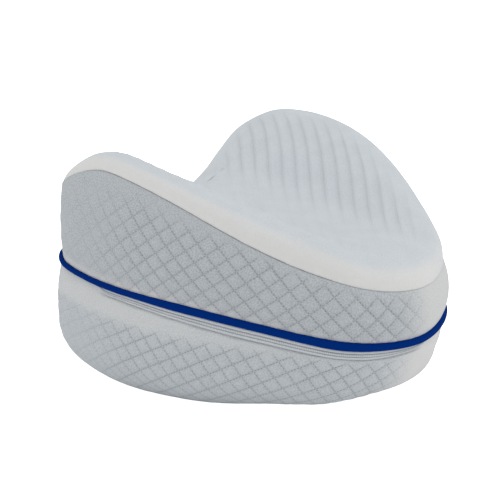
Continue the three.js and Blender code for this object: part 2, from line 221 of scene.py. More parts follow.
class Pillow:
    """The pillow's surfaces as functions, round the piping and then stood up."""

    def __init__(self):
        scene = bpy.context.scene
        self.form, self.cover = scene.pillow_form, scene.pillow_cover
        half = np.array(PLAN_HALF, float) * MM
        mirrored = half[-2:0:-1] * (-1, 1)
        line = closed_curve(np.concatenate([half, mirrored]), 200)
        self.line = np.concatenate([line, line[:1]])
        steps = np.linalg.norm(np.diff(self.line, axis=0), axis=1)
        self.way = np.concatenate([[0], np.cumsum(steps)])
        self.round = self.way[-1]
        self.notch = self.plan(0.5)[0][1]
        self.shift = 0
        around = np.linspace(0, 1, 2000)
        front = self.stand(self.beside(around, self.cover.cord_out + self.cover.cord_radius, 0))
        self.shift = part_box("piping")[0].y - front[:, 1].min()

    def on_line(self, way):
        """Points of the plan at ways round it."""
        way = np.mod(way, self.round)
        return np.stack([np.interp(way, self.way, self.line[:, k]) for k in (0, 1)], -1)

    def plan(self, share):
        """Points and outward directions at shares of the way round the plan."""
        way = np.mod(share, 1) * self.round
        place = self.on_line(way)
        near = 0.5 * MM
        ahead, behind = self.on_line(way + near), self.on_line(way - near)
        along = ahead - behind
        along /= np.linalg.norm(along, axis=-1, keepdims=True)
        return place, np.stack([along[..., 1], -along[..., 0]], -1)

    def beside(self, share, out, z):
        """Points out from the plan, at heights over its plane."""
        place, outward = self.plan(share)
        flat = place + outward * np.broadcast_to(out, np.shape(share))[..., None]
        return np.concatenate([flat, np.broadcast_to(z, np.shape(share))[..., None]], -1)

    def inwards(self, points, way):
        """The same points after a move towards the middle of the plan."""
        moved = points.copy()
        far = np.hypot(points[..., 0], points[..., 1])
        moved[..., :2] *= (1 - way / far)[..., None]
        return moved

    def stand(self, points):
        """The same points once the pillow stands, before it is pressed flat."""
        tip = self.form.nose_down
        x, y, z = points[..., 0], points[..., 1], points[..., 2]
        up = y * math.sin(tip) + z * math.cos(tip) + self.form.rest_depth - self.form.pressed
        return np.stack([x, y * math.cos(tip) - z * math.sin(tip) + self.shift, up], -1)

    def at_shoulder(self, x, y):
        """1 at the outer shoulder of the zip's side, and less away from it."""
        place = self.plan(0.5 + self.form.shoulder)[0]
        far = np.hypot(x - place[0], y - place[1])
        return np.exp(-(far / self.form.shoulder_size) ** 2)

    def seam_height(self, x, y):
        """The upper seam and the top panel's saddle over the plane of the piping."""
        form = self.form
        drop = form.back_drop * (np.maximum(y - form.back_drop_start, 0) / (50 * MM)) ** 2
        ends = np.where(y < 0, form.nose_rise, form.lobe_rise) * (y / SPAN) ** 2
        rise = form.channel_height + form.channel_rise * (np.abs(x) / SPAN) ** 2.3
        return rise + ends - drop - form.shoulder_drop * self.at_shoulder(x, y)

    def crown(self, x, y, out):
        """The top panel over its saddle, from its seam at out 1 to the middle at out 0."""
        form = self.form
        past = np.clip((1 - out) / form.crown_share, 0, 1)
        lobe = np.hypot(x - NEAR_LOBE[0], y - NEAR_LOBE[1]) / form.near_lobe_size
        sides = 1 + form.side_crown * smooth(30 * MM, 65 * MM, np.abs(x))
        sides = sides + form.near_lobe * np.exp(-lobe**2)
        high = form.crown * sides * (1 + form.crown_slope * y / SPAN)
        from_notch = (x / form.notch_width) ** 2 + ((y - self.notch) / form.notch_length) ** 2
        sunk = form.notch_sink * np.exp(-from_notch)
        return high * (1 - sunk) * np.sqrt(np.maximum(1 - (1 - past) ** 2, 0))

    def sway(self, share):
        """The piping over its own plane."""
        total = 0
        for k in range(3):
            turn = 2 * math.pi * (k + 1) * share
            total = total + self.form.sway[k] * np.cos(turn) + self.form.drift[k] * np.sin(turn)
        return total

    def seam_out(self, share):
        """The upper seam out from the plan."""
        form = self.form
        place = self.plan(share)[0]
        y = place[..., 1] / SPAN
        ends = form.seam_lobe_out * np.maximum(y, 0) ** 2
        return ends + form.shoulder_out * self.at_shoulder(place[..., 0], place[..., 1]) - form.seam_inset

    def depth(self, x, y):
        """The lower saddle under the plane of the piping."""
        form = self.form
        past = np.maximum(y - form.lobe_lift_start, 0) / SPAN
        level = form.rest_depth - form.lobe_lift * past**2 + y * math.sin(form.nose_down)
        rest = level / math.cos(form.nose_down)
        share = smooth(0, form.under_half_width, np.abs(x))
        return form.under_depth + (rest - form.under_depth) * share

    def upper_seam(self, share):
        """The seam between the upper band and the top panel."""
        edge = self.beside(share, self.seam_out(share), 0)
        edge[..., 2] = self.seam_height(edge[..., 0], edge[..., 1])
        return edge

    def upper_wall(self, share, height):
        """The upper band at heights over the piping."""
        part = height / self.upper_seam(share)[..., 2]
        place = self.plan(share)[0]
        full = 1 - 0.5 * self.at_shoulder(place[..., 0], place[..., 1])
        swell = self.form.upper_bulge * full * 4 * part * (1 - part)
        out = swell + self.seam_out(share) * np.maximum(part, 0) ** 1.5
        return self.beside(share, out, height + self.sway(share) * (1 - part))

    def lower_seam(self, share):
        """The seam between the lower band and the bottom panel."""
        form = self.form
        edge = self.inwards(self.beside(share, -form.lower_inset, 0), form.lower_round)
        edge[..., 2] = -self.depth(edge[..., 0], edge[..., 1])
        return edge

    def lower_wall(self, share, way, raised=0):
        """The lower band at ways down it from the piping, and round the lower edge."""
        form = self.form
        wall = -self.lower_seam(share)[..., 2] - form.lower_round
        part = way / wall
        out = form.lower_bulge * 4 * part * (1 - part) - form.lower_inset * np.maximum(part, 0) ** 2
        straight = self.beside(share, out + raised, self.sway(share) * (1 - part) - way)
        angle = np.maximum(way - wall, 0) / form.lower_round
        radius = form.lower_round + raised
        start = self.beside(share, -form.lower_inset, -wall - radius * np.sin(angle))
        rounded = self.inwards(start, form.lower_round - radius * np.cos(angle))
        return np.where((way <= wall)[..., None], straight, rounded)

    def lower_way(self, share):
        """How far the lower band runs from the piping to its seam."""
        wall = -self.lower_seam(share)[..., 2] - self.form.lower_round
        return wall + self.form.lower_round * math.pi / 2

    def share_out(self, x, y, edge):
        """How far out points lie between the middle, 0, and an edge round it, 1."""
        turn = np.arctan2(edge[:, 0], -edge[:, 1])
        order = np.argsort(turn)
        far = np.hypot(edge[:, 0], edge[:, 1])[order]
        reach = np.interp(np.arctan2(x, -y), turn[order], far, period=2 * math.pi)
        return np.hypot(x, y) / reach


def even_shares(count):
    """Even shares of the way round, each place once."""
    return np.linspace(0, 1, count, endpoint=False)


def choose(piece):
    """Selects the piece alone, so that an operator acts on it."""
    bpy.ops.object.select_all(action="DESELECT")
    piece.select_set(True)
    bpy.context.view_layer.objects.active = piece


def new_piece(name):
    """The primitive that was just added, under its name."""
    piece = bpy.context.object
    piece.name = name
    piece.data.name = name
    return piece


def read_points(piece, what):
    """Three numbers of each point as an array."""
    flat = np.empty(len(piece.data.vertices) * 3)
    piece.data.vertices.foreach_get(what, flat)
    return flat.reshape(-1, 3)


def points_of(piece):
    """The piece's points as an array."""
    return read_points(piece, "co")


def outward(piece):
    """The piece's normals at its points."""
    return read_points(piece, "normal")


def place_points(piece, points):
    """Moves the piece's points to the given places."""
    piece.data.vertices.foreach_set("co", np.ascontiguousarray(points, float).ravel())
    piece.data.update()


def corners_of(piece):
    """The point that each face corner stands on."""
    index = np.empty(len(piece.data.loops), int)
    piece.data.loops.foreach_get("vertex_index", index)
    return index


def write_map(piece, name, values):
    """A UV map with one pair for each face corner."""
    layer = piece.data.uv_layers.get(name) or piece.data.uv_layers.new(name=name)
    layer.data.foreach_set("uv", np.ascontiguousarray(values, float).ravel())


def read_map(piece, name):
    """The UV map's pair at each point, taken from any of its corners."""
    layer = piece.data.uv_layers[name]
    flat = np.empty(len(piece.data.loops) * 2)
    layer.data.foreach_get("uv", flat)
    at_points = np.zeros((len(piece.data.vertices), 2))
    at_points[corners_of(piece)] = flat.reshape(-1, 2)
    return at_points


def write_mask(piece, name, values):
    """A number at each point, that a material reads."""
    layer = piece.data.attributes.new(name, "FLOAT", "POINT")
    layer.data.foreach_set("value", np.ascontiguousarray(values, float))


def edit(piece):
    """Opens the piece in edit mode with all of it selected."""
    choose(piece)
    bpy.ops.object.mode_set(mode="EDIT")
    bpy.ops.mesh.select_all(action="SELECT")


def leave_edit():
    """Goes back to object mode."""
    bpy.ops.object.mode_set(mode="OBJECT")


def apply(piece, name):
    """Applies one modifier of the piece."""
    choose(piece)
    bpy.ops.object.modifier_apply(modifier=name)


def refine(piece):
    """Subdivides the piece's surface smoothly."""
    smoother = piece.modifiers.new("Fine cloth", "SUBSURF")
    smoother.levels = smoother.render_levels = LEVELS
    smoother.uv_smooth = "NONE"
    apply(piece, smoother.name)


def wrapped_grid(name, rows, place):
    """A grid that is wrapped round the pillow and joined where its two ends meet."""
    bpy.ops.mesh.primitive_grid_add(x_subdivisions=COLUMNS, y_subdivisions=rows, size=1)
    piece = new_piece(name)
    flat = points_of(piece)
    share, rise = flat[:, 0] + 0.5, flat[:, 1] + 0.5
    points, cloth, quilt = place(share, rise)
    corner = corners_of(piece)
    piece.data.uv_layers[0].name = "cloth"
    write_map(piece, "cloth", cloth[corner])
    write_map(piece, "quilt", quilt[corner])
    place_points(piece, points)
    edit(piece)
    bpy.ops.mesh.remove_doubles(threshold=0.01 * MM)
    leave_edit()
    return piece


def put_in_order(piece):
    """Sorts the open piece's parts by place, because operators leave them in a chance order."""
    mesh = bmesh.from_edit_mesh(piece.data)
    mesh.verts.sort(key=lambda vert: vert.co.dot(SORT_WAY))
    mesh.edges.sort(key=lambda edge: sum(end.co.dot(SORT_WAY) for end in edge.verts))
    mesh.faces.sort(key=lambda face: face.calc_center_median().dot(SORT_WAY))
    bmesh.update_edit_mesh(piece.data)


def filled_ring(name, points, rings, inner_rows=42):
    """A ring of points drawn inwards in steps and then filled with a grid of faces."""
    bpy.ops.mesh.primitive_circle_add(vertices=len(points), radius=1)
    piece = new_piece(name)
    place_points(piece, points)
    edit(piece)
    for ratio in rings:
        bpy.ops.mesh.extrude_region_move()
        bpy.ops.transform.resize(value=(ratio, ratio, 1), center_override=(0, 0, 0))
    put_in_order(piece)
    bpy.ops.mesh.fill_grid(span=inner_rows, offset=len(points) // 8)
    bpy.ops.mesh.vertices_smooth(factor=0.5, repeat=12)
    bpy.ops.mesh.select_all(action="SELECT")
    bpy.ops.mesh.normals_make_consistent(inside=False)
    put_in_order(piece)
    leave_edit()
    return piece


def puff_up(piece, held, start, most):
    """Inflates the cloth between its held points, and limits how far it moves."""
    group = piece.vertex_groups.new(name="sewn")
    group.add([int(i) for i in np.nonzero(held)[0]], 1, "REPLACE")
    cloth = piece.modifiers.new("Stuffed cloth", "CLOTH")
    values = cloth.settings
    values.quality = 5
    values.mass = 0.3
    values.tension_stiffness = values.compression_stiffness = 40
    values.shear_stiffness = 12
    values.bending_stiffness = 0.8
    values.use_pressure = True
    values.uniform_pressure_force = 4
    values.effector_weights.gravity = 0
    values.vertex_group_mass = "sewn"
    cloth.collision_settings.use_collision = False
    scene = bpy.context.scene
    for step in range(1, 21):
        scene.frame_set(step)
    apply(piece, cloth.name)
    scene.frame_set(1)
    moved = points_of(piece) - start
    far = np.linalg.norm(moved, axis=1, keepdims=True)
    place_points(piece, start + moved * np.minimum(1, most / np.maximum(far, 1e-9)))
    piece.vertex_groups.clear()


def quilt_relief(quilt, cross, softness):
    """0 on the sewn lines and 1 in the middle of the diamonds; cross weakens the second lines."""
    rise = np.abs(np.sin(quilt * math.pi)) ** softness
    return rise[:, 0] * (1 - cross + cross * rise[:, 1])


def ripple(points, size, seed):
    """Soft unevenness between -1 and 1, the same in each run."""
    draw = np.random.default_rng(seed)
    total = np.zeros(len(points))
    count = 14
    for _ in range(count):
        wave = draw.normal(size=3) / size
        total += np.sin(points @ wave + draw.uniform(0, 2 * math.pi))
    return total / count * 2


def finish_piece(piece, material, node):
    """Gives a piece its material and smooth shading, puts it under its body, and hides the frame's part
    that it stands for.
    """
    piece.data.materials.clear()
    piece.data.materials.append(material)
    choose(piece)
    bpy.ops.object.shade_smooth()
    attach(piece, "root")
    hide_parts(node)


def open_loops(mesh):
    """The open edges of a mesh, grouped into loops."""
    left = {e for e in mesh.edges if e.is_boundary}
    loops = []
    while left:
        loop, reach = [], [left.pop()]
        while reach:
            edge = reach.pop()
            loop.append(edge)
            for end in edge.verts:
                joined = [e for e in end.link_edges if e in left]
                left.difference_update(joined)
                reach += joined
        loops.append(loop)
    return sorted(loops, key=lambda loop: sum(e.verts[0].co.z for e in loop) / len(loop))


def close_loop(piece, pillow, which, height):
    """Closes the lowest or highest open edge with a fan to the middle, at a height over the piping."""
    edit(piece)
    bpy.ops.mesh.select_all(action="DESELECT")
    mesh = bmesh.from_edit_mesh(piece.data)
    loops = open_loops(mesh)
    for edge in loops[0 if which == "lowest" else -1]:
        edge.select_set(True)
    bpy.ops.mesh.edge_face_add()
    bpy.ops.mesh.poke()
    mesh = bmesh.from_edit_mesh(piece.data)
    centre = max((v for v in mesh.verts if v.select), key=lambda v: len(v.link_edges))
    centre.co = pillow.stand(np.array([0, 0, height]))
    bmesh.update_edit_mesh(piece.data)
    bpy.ops.mesh.select_all(action="SELECT")
    bpy.ops.mesh.normals_make_consistent(inside=False)
    leave_edit()


def raise_quilting(piece, fade, margin, deep, cross=1.0, softness=0.6):
    """Lifts the diamonds between their sewn lines, and marks where they fade and the plain margins, which
    the material paints cream, partly as painted highlight.
    """
    cover = bpy.context.scene.pillow_cover
    points = points_of(piece)
    relief = quilt_relief(read_map(piece, "quilt"), cross, softness)
    uneven = 1 + 0.25 * ripple(points, 9 * MM, 4)
    lift = cover.puff * (relief - 0.55) * deep * fade * uneven
    place_points(piece, points + outward(piece) * lift[:, None])
    write_mask(piece, "margin", margin)
    write_mask(piece, "fade", fade)


def stretched(share):
    """How deep the quilting shows round a band: less where the lobes pull the cloth tight."""
    lobes = smooth(0.25, 0.335, 0.5 - np.abs(share - 0.5))
    return 1 - 0.7 * lobes


def nose_shoulder(share, start):
    """1 where the cover is tight and plain beside the nose, from a share near the nose on; the bands are
    painted cream there as painted highlight.
    """
    turned = np.mod(share + 0.5, 1) - 0.5
    return smooth(start, start + 0.045, turned) * smooth(0.2, 0.15, turned)


def press_flat(piece):
    """Presses the piece flat where it would go under the floor."""
    points = points_of(piece)
    points[:, 2] = np.maximum(points[:, 2], 0)
    place_points(piece, points)


def band_place(piece, pillow):
    """The share of the way round and the way from the piping, at the band's points."""
    cloth = read_map(piece, "cloth")
    return cloth[:, 0] / pillow.round, cloth[:, 1]


def band_quilt(pillow, share, way, lean):
    """Diamond coordinates on a band, whole on the sewn lines, whose two families lean by degrees."""
    sides = []
    for degrees, sign in zip(lean, (1, -1)):
        angle = math.radians(degrees)
        lines_round = round(pillow.round * math.cos(angle) / pillow.cover.diamond)
        sides.append(share * lines_round + sign * way * math.sin(angle) / pillow.cover.diamond)
    return np.stack(sides, -1)


def panel_quilt(pillow, x, y):
    """Diamond coordinates on a panel, in plan, with the saddle's slope taken up by the cloth."""
    slope = 0.5 * (2 * pillow.form.channel_rise / SPAN ** 2) ** 2
    across = x * (1 + slope * x**2 / 3)
    angle = math.radians(44)
    first = across * math.cos(angle) - y * math.sin(angle)
    second = across * math.sin(angle) + y * math.cos(angle)
    return np.stack([first / 0.93, second], -1) / pillow.cover.diamond


def panel_maps(piece, pillow):
    """Writes a panel's maps while it lies in its plan, and gives the plan."""
    plan = points_of(piece)
    corner = corners_of(piece)
    write_map(piece, "cloth", plan[corner][:, :2])
    write_map(piece, "quilt", panel_quilt(pillow, plan[:, 0], plan[:, 1])[corner])
    return plan[:, 0], plan[:, 1]


def panel_place(piece, pillow, edge):
    """How far to the side the panel's points lie, and how far inside its edge."""
    plan = read_map(piece, "cloth")
    x, y = plan[:, 0], plan[:, 1]
    out = pillow.share_out(x, y, edge)
    return x, (1 - out) * np.hypot(x, y) / np.maximum(out, 0.01)


def make_upper_band(pillow):
    """The quilted band from the piping up to the top panel."""

    def place(share, rise):
        seam = pillow.upper_seam(share)[:, 2] + 0.2 * MM
        height = SEWN_GAP + (seam - SEWN_GAP) * rise
        points = pillow.upper_wall(share, height)
        spot, outward_way = pillow.plan(share)
        loose = 1 - nose_shoulder(share, -0.02)
        sewn_in = 0.6 * (1 - pillow.at_shoulder(spot[:, 0], spot[:, 1])) * loose
        tucked = (0.3 * smooth(0.07, 0, rise) + sewn_in * smooth(0.95, 1, rise)) * MM
        points[:, :2] -= outward_way * tucked[:, None]
        cloth = np.stack([share * pillow.round, height], -1)
        return pillow.stand(points), cloth, band_quilt(pillow, share, height, (50, 47))

    piece = wrapped_grid("upper_band_cover", 15, place)
    share, height = band_place(piece, pillow)
    seam = pillow.upper_seam(share)[:, 2]
    held = (height < 4 * MM) | (height > seam - 3 * MM)
    puff_up(piece, held, points_of(piece), pillow.cover.swell)
    refine(piece)
    share, height = band_place(piece, pillow)
    over = pillow.upper_seam(share)[:, 2] - height
    plain = nose_shoulder(share, -0.032)
    soft_edge = (6 + 14 * smooth(0.86, 0.72, share) * smooth(0.5, 0.6, share)) * MM
    fade = smooth(0, 7 * MM, height) * smooth(0, soft_edge, over) * stretched(share) * (1 - plain)
    low_edge = smooth(9 * MM, 2 * MM, height) * (0.4 + 0.5 * smooth(0.9, 0.75, share))
    # 0.7 * plain paints the band beside the nose cream, as painted highlight.
    raise_quilting(piece, fade, np.maximum(low_edge, 0.7 * plain), BAND_DEPTH)
    close_loop(piece, pillow, "lowest", 0.5 * MM)
    close_loop(piece, pillow, "highest", pillow.form.channel_height - 1 * MM)
    # 0.91 paints the upper band darker than the top, as painted shade.
    knit = quilted_knit("side_knit", 0.91, 1.2, 0.45)
    finish_piece(piece, knit, "upper_side_band")


def zip_part(pillow, share):
    """How far along the zip shares of the way round lie, from 0 at its start to 1."""
    cover = pillow.cover
    turned = np.where(share < 0.3, share + 1, share)
    return (turned - cover.zip_first) / (cover.zip_last - cover.zip_first)


def make_lower_band(pillow):
    """The quilted band from the piping down round the lower edge."""

    def place(share, rise):
        down = 1 - rise
        way = SEWN_GAP + (pillow.lower_way(share) - SEWN_GAP) * down
        points = pillow.lower_wall(share, way, -0.7 * MM * smooth(0.05, 0, down))
        cloth = np.stack([share * pillow.round, way], -1)
        return pillow.stand(points), cloth, band_quilt(pillow, share, way, (55, 41))

    piece = wrapped_grid("lower_band_cover", 21, place)
    start = points_of(piece)
    share, way = band_place(piece, pillow)
    over = pillow.lower_way(share) - way
    held = (way < 11 * MM) | (over < 4 * MM) | (start[:, 2] < 2 * MM)
    puff_up(piece, held, start, pillow.cover.swell)
    refine(piece)
    share, way = band_place(piece, pillow)
    over = pillow.lower_way(share) - way
    along = zip_part(pillow, share)
    free_part = smooth(0.75, 0.1, along) * (along > -0.4)
    plain = nose_shoulder(share, -0.04)
    free = (10 + 9 * free_part) * MM
    fade = smooth(free, free + 7 * MM, way) * smooth(0, 6 * MM, over) * stretched(share) * (1 - plain)
    points = points_of(piece)
    flatter = 0.1 + 0.9 * smooth(3 * MM, 32 * MM, points[:, 2])
    margin = smooth(free + 10 * MM, free, way) * (0.15 + 0.35 * free_part)
    # 0.85 * plain paints the band beside the nose cream, as painted highlight.
    raise_quilting(piece, fade, np.maximum(margin, 0.85 * plain), BAND_DEPTH * flatter)
    points = points_of(piece)
    edge = (10.9 - 3 * smooth(0.5, 0, along) - 3 * smooth(0.85, 1, along)) * MM
    pocket = smooth(edge, edge - 0.7 * MM, way) * smooth(0, 0.03, along) * smooth(1, 0.96, along)
    place_points(piece, points - outward(piece) * (1.5 * MM * pocket)[:, None])
    press_flat(piece)
    close_loop(piece, pillow, "highest", -1 * MM)
    close_loop(piece, pillow, "lowest", 12 * MM - pillow.form.under_depth)
    # 1.01 is the lower band's brightness, painted light on its copy of the knit.
    knit = quilted_knit("under_knit", 1.01, 1.0, 0.45)
    finish_piece(piece, knit, "lower_side_band")


def make_top_panel(pillow):
    """The quilted panel over the upper saddle, crowned between its seams."""
    edge = pillow.upper_seam(even_shares(FINE_EDGE))
    angles = np.radians([0, 8, 17, 27, 38, 50, 62])
    sizes = 1 - pillow.form.crown_share * (1 - np.cos(angles))
    ratios = list(sizes[1:] / sizes[:-1])
    seam = pillow.upper_seam(even_shares(COLUMNS))
    piece = filled_ring("top_panel_cover", seam * (1, 1, 0), ratios)
    x, y = panel_maps(piece, pillow)
    out = pillow.share_out(x, y, edge)
    turned = np.arctan2(x, -y) / (2 * math.pi)
    rim = 0.5 * MM * smooth(0.985, 1, out) * (1 - nose_shoulder(turned, -0.02))
    pulled = 1 - rim / np.maximum(np.hypot(x, y), MM)
    raised = (0.45 + 0.5 * smooth(1, 0.98, out)) * MM
    height = pillow.seam_height(x, y) + pillow.crown(x, y, out) + raised
    points = pillow.stand(np.stack([x * pulled, y * pulled, height], -1))
    place_points(piece, points)
    puff_up(piece, out > 0.97, points, pillow.cover.swell)
    refine(piece)
    x, inside = panel_place(piece, pillow, edge)
    channel = smooth(8 * MM, 40 * MM, x) + 0.15 * smooth(-8 * MM, -40 * MM, x)
    fade = smooth(10 * MM, 36 * MM, inside) * (0.1 + 0.9 * channel)
    # The cream rim on the zip's side is partly painted highlight, where the rim faces the light.
    margin = smooth(11 * MM, 1 * MM, inside) * smooth(80 * MM, 0, x)
    raise_quilting(piece, fade, margin, 1.1, cross=0.1, softness=1.0)
    close_loop(piece, pillow, "lowest", pillow.form.channel_height)
    # 1.19 paints the top panel lighter, as lit from above, and hollow=1.5 is the painted shade beside its
    # lines.
    knit = quilted_knit("top_knit", 1.19, 0.35, 0.1, second=0.1, hollow=1.5)
    finish_piece(piece, knit, "top_panel")


def make_bottom_panel(pillow):
    """The quilted panel over the lower saddle, flat where the pillow rests."""
    edge = pillow.lower_seam(even_shares(FINE_EDGE))
    inner = 0.997  # so that the panel starts inside its seam
    seam = pillow.lower_seam(even_shares(COLUMNS))
    piece = filled_ring("bottom_panel_cover", seam * (inner, inner, 0), [0.98, 0.96])
    x, y = panel_maps(piece, pillow)
    out = pillow.share_out(x, y, edge)
    tuck = 1.5 * MM * smooth(0.97, 1, out)
    points = pillow.stand(np.stack([x, y, tuck - pillow.depth(x, y)], -1))
    place_points(piece, points)
    edit(piece)
    bpy.ops.mesh.flip_normals()
    leave_edit()
    held = (out > 0.95) | (points[:, 2] < 3 * MM)
    puff_up(piece, held, points, pillow.cover.swell)
    refine(piece)
    _, inside = panel_place(piece, pillow, edge)
    fade = smooth(1 * MM, 8 * MM, inside)
    raise_quilting(piece, fade, smooth(6 * MM, 2 * MM, inside), 1.0)
    press_flat(piece)
    close_loop(piece, pillow, "highest", 11 * MM - pillow.form.under_depth)
    # 1.06 is the bottom panel's brightness, painted light on its copy of the knit.
    knit = quilted_knit("base_knit", 1.06, 0.7, 0.4)
    finish_piece(piece, knit, "bottom_panel")


def cord_size(share):
    """The cord's size round the pillow: the bands close over it at the lobes, and part by the nose."""
    near = 0.5 - np.abs(np.mod(share, 1) - 0.5)
    closed = 0.22 * smooth(0.215, 0.27, near) + 0.08 * smooth(0.29, 0.33, near)
    return (1 - closed) * (1 + 0.18 * np.exp(-((near - 0.078) / 0.03) ** 2))


def unwrapped(step, count):
    """Steps round a loop at the corners of its faces, with those past the join counted on."""
    step = step.astype(float)
    over_join = step.max(1) - step.min(1) > count / 2
    step[over_join[:, None] & (step < count / 2)] += count
    return step / count


def make_piping(pillow):
    """The blue cord in its bias strip, round the middle of the pillow."""
    around, sides = 240, 12
    bpy.ops.mesh.primitive_torus_add(
        major_segments=around, minor_segments=sides, major_radius=1, minor_radius=0.2
    )
    piece = new_piece("piping_cord")
    column, side = np.divmod(np.arange(around * sides), sides)
    share, angle = column / around, side / sides * 2 * math.pi
    cover = pillow.cover
    radius = cover.cord_radius * cord_size(share)
    out = cover.cord_out + radius * np.cos(angle)
    points = pillow.stand(pillow.beside(share, out, pillow.sway(share) + radius * np.sin(angle)))
    place_points(piece, points)
    faces = corners_of(piece).reshape(-1, 4)
    along = unwrapped(column[faces], around) * pillow.round
    across = unwrapped(side[faces], sides) * 2 * math.pi * cover.cord_radius
    piece.data.uv_layers[0].name = "cloth"
    write_map(piece, "cloth", np.stack([along, across], -1))
    edit(piece)
    bpy.ops.mesh.normals_make_consistent(inside=False)
    leave_edit()
    refine(piece)
    finish_piece(piece, piping_cloth(), "piping")


def make_strip(pillow, name, which, thick, bow, columns=300, teeth=0):
    """A strip of the zip along the lower band under the piping, bowed, with teeth where asked."""
    cover = pillow.cover
    low, high = ZIP_STRIPS[which]
    bpy.ops.mesh.primitive_grid_add(x_subdivisions=columns, y_subdivisions=5, size=1)
    piece = new_piece(name)
    flat = points_of(piece)
    part, across = flat[:, 0] + 0.5, 0.5 - flat[:, 1]
    share = cover.zip_first + (cover.zip_last - cover.zip_first) * part
    narrow = 0.62 + 0.38 * smooth(0, 0.5, part) - 0.35 * smooth(0.04, 0, part)
    narrow = narrow - 0.55 * smooth(0.8, 1, part)
    sunk = 1.4 * MM * (smooth(0.02, 0, part) + smooth(0.95, 1, part))
    under = 0.88 * cover.cord_radius * cord_size(share)
    way = under + (low + (high - low) * across - 2.9) * narrow * MM
    arch = 4 * across * (1 - across)
    raised = thick - sunk + bow * arch
    if teeth:
        raised = raised + 0.45 * MM * np.abs(np.sin(part * math.pi * teeth)) * np.sqrt(arch)
    piece.data.uv_layers[0].name = "cloth"
    write_map(piece, "cloth", np.stack([share * pillow.round, way], -1)[corners_of(piece)])
    place_points(piece, pillow.stand(pillow.lower_wall(share, way, raised)))
    solid = piece.modifiers.new("Thickness", "SOLIDIFY")
    solid.thickness = STRIP_THICKNESS
    solid.offset = -1
    apply(piece, solid.name)
    return piece


def make_zip(pillow):
    """The two tapes and the coil between them."""
    for which in ("upper", "lower"):
        piece = make_strip(pillow, f"zip_{which}_tape", which, 0.9 * MM, 0.3 * MM)
        finish_piece(piece, tape_cloth(), f"zip_tape_{which}")
    teeth = round(pillow.round * (pillow.cover.zip_last - pillow.cover.zip_first) / TOOTH_PITCH)
    piece = make_strip(pillow, "zip_teeth", "teeth", 0.7 * MM, 0.5 * MM, teeth * 4, teeth)
    finish_piece(piece, coil_plastic(), "zip_coil")


class Wiring:
    """A material's or a group's nodes, with short ways to add and join them."""

    def __init__(self, tree):
        self.tree = tree
        self.nodes = tree.nodes
        self.nodes.clear()
        self.column = 0

    def add(self, kind, inputs=None, **values):
        """A node with its settings, and its inputs set or joined."""
        node = self.nodes.new(kind)
        self.column += 1
        node.location = (self.column * 180, -(self.column % 3) * 160)
        for key, value in values.items():
            setattr(node, key, value)
        for key, value in (inputs or {}).items():
            self.put(node.inputs[key], value)
        return node

    def put(self, socket, value):
        """Joins an output to the socket, or sets the socket's value."""
        if isinstance(value, bpy.types.NodeSocket):
            self.tree.links.new(value, socket)
        else:
            socket.default_value = value

    def math(self, operation, *values):
        """The result of a sum."""
        node = self.add("ShaderNodeMath", operation=operation)
        for socket, value in zip(node.inputs, values):
            self.put(socket, value)
        return node.outputs[0]

    def times(self, first, second):
        """The product of two values."""
        return self.math("MULTIPLY", first, second)

    def parts(self, vector):
        """The three parts of a vector."""
        return self.add("ShaderNodeSeparateXYZ", {0: vector}).outputs

    def map(self, name):
        """The place on the piece's UV map of that name."""
        return self.add("ShaderNodeUVMap", uv_map=name).outputs[0]

    def mask(self, name):
        """The number that the piece holds under that name at its points."""
        return self.add("ShaderNodeAttribute", attribute_name=name).outputs["Fac"]

    def noise(self, vector, scale, detail, roughness=0.5):
        """Noise at the places that a vector gives."""
        inputs = {"Vector": vector, "Scale": scale, "Detail": detail, "Roughness": roughness}
        return self.add("ShaderNodeTexNoise", inputs).outputs[0]

    def bump(self, shader, strength, distance, height):
        """Relief in the shader's normal."""
        inputs = {"Strength": strength, "Distance": distance, "Height": height}
        self.put(shader.inputs["Normal"], self.add("ShaderNodeBump", inputs).outputs[0])

    def mix(self, share, first, second):
        """A colour between two."""
        node = self.add("ShaderNodeMix", data_type="RGBA")
        self.put(node.inputs[0], share)
        self.put(node.inputs[6], first)
        self.put(node.inputs[7], second)
        return node.outputs[2]

    def between(self, value, low, high, new_low=0.0, new_high=1.0):
        """A value eased from one range to another."""
        node = self.add("ShaderNodeMapRange", interpolation_type="SMOOTHSTEP")
        for socket, entry in zip(node.inputs, (value, low, high, new_low, new_high)):
            self.put(socket, entry)
        return node.outputs[0]


def group(name, inputs, outputs):
    """A shader node group and its wiring, or no wiring where the group was made before.

    An input with no default is a vector, and everything else is a number.
    """
    if name in bpy.data.node_groups:
        return bpy.data.node_groups[name], None
    tree = bpy.data.node_groups.new(name, "ShaderNodeTree")
    wiring = Wiring(tree)
    for label, default in inputs.items():
        kind = "NodeSocketVector" if default is None else "NodeSocketFloat"
        socket = tree.interface.new_socket(name=label, in_out="INPUT", socket_type=kind)
        if default is not None:
            socket.default_value = default
    for label in outputs:
        tree.interface.new_socket(name=label, in_out="OUTPUT", socket_type="NodeSocketFloat")
    wiring.entry = wiring.add("NodeGroupInput").outputs
    wiring.exit = wiring.add("NodeGroupOutput").inputs
    return tree, wiring


